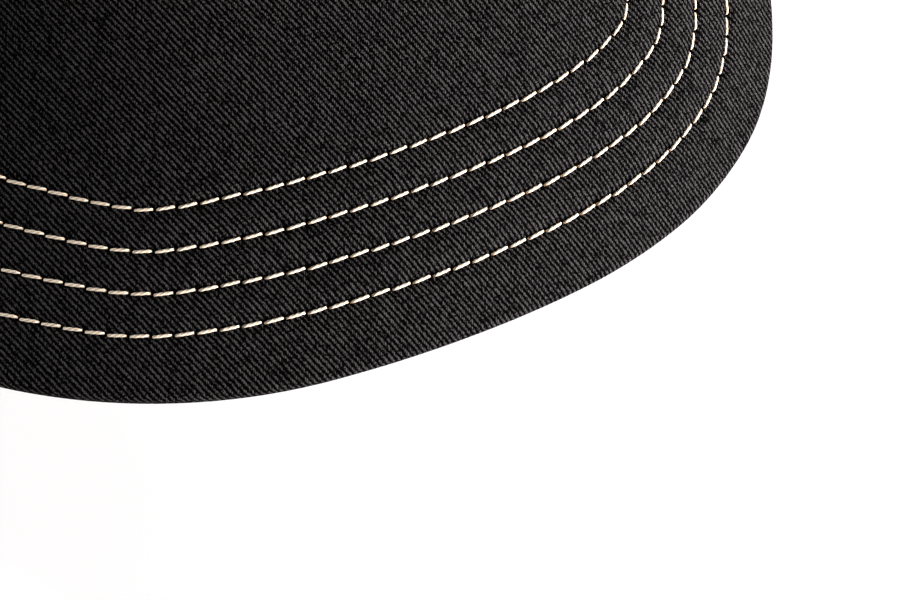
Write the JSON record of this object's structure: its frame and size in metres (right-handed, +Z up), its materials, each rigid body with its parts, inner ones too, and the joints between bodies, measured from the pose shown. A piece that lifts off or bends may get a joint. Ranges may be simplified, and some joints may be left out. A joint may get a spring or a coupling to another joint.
{
  "type": "trucker hat",
  "caption": "Panelled hat with a curved, row-stitched peak, solid twill front, open net sides and back, inner sweatband and an adjustable snap strap under an arched back opening.",
  "frame": {"origin": "middle of the bounding box's bottom face, on the table that the hat stands on", "axes": "+Z up, the peak points along -Y, the wearer's left is +X"},
  "size_m": [0.1892, 0.2632, 0.1356],
  "materials": {
    "twill": "charcoal black cotton twill, diagonal ribs, matt",
    "net": "black knitted polyester net, slight sheen",
    "cotton_tape": "black plain-woven cotton, matt",
    "strap_plastic": "black moulded plastic, satin",
    "thread": "thick two-ply cream and tan stitching thread"
  },
  "bodies": {
    "root": {"peak_cover_top": "twill", "peak_cover_under": "twill", "front_panel_left": "twill", "front_panel_right": "twill", "net_panel_side_left": "net", "net_panel_side_right": "net", "net_panel_back_left": "net", "net_panel_back_right": "net", "sweatband": "cotton_tape", "arch_binding": "cotton_tape", "snap_strap_outer": "strap_plastic", "snap_strap_inner": "strap_plastic", "top_button": "twill", "seam_tape_front": "cotton_tape", "seam_tape_side_left": "cotton_tape", "seam_tape_side_right": "cotton_tape", "seam_tape_rear_left": "cotton_tape", "seam_tape_rear_right": "cotton_tape", "seam_tape_back": "cotton_tape"}
  },
  "joints": []
}
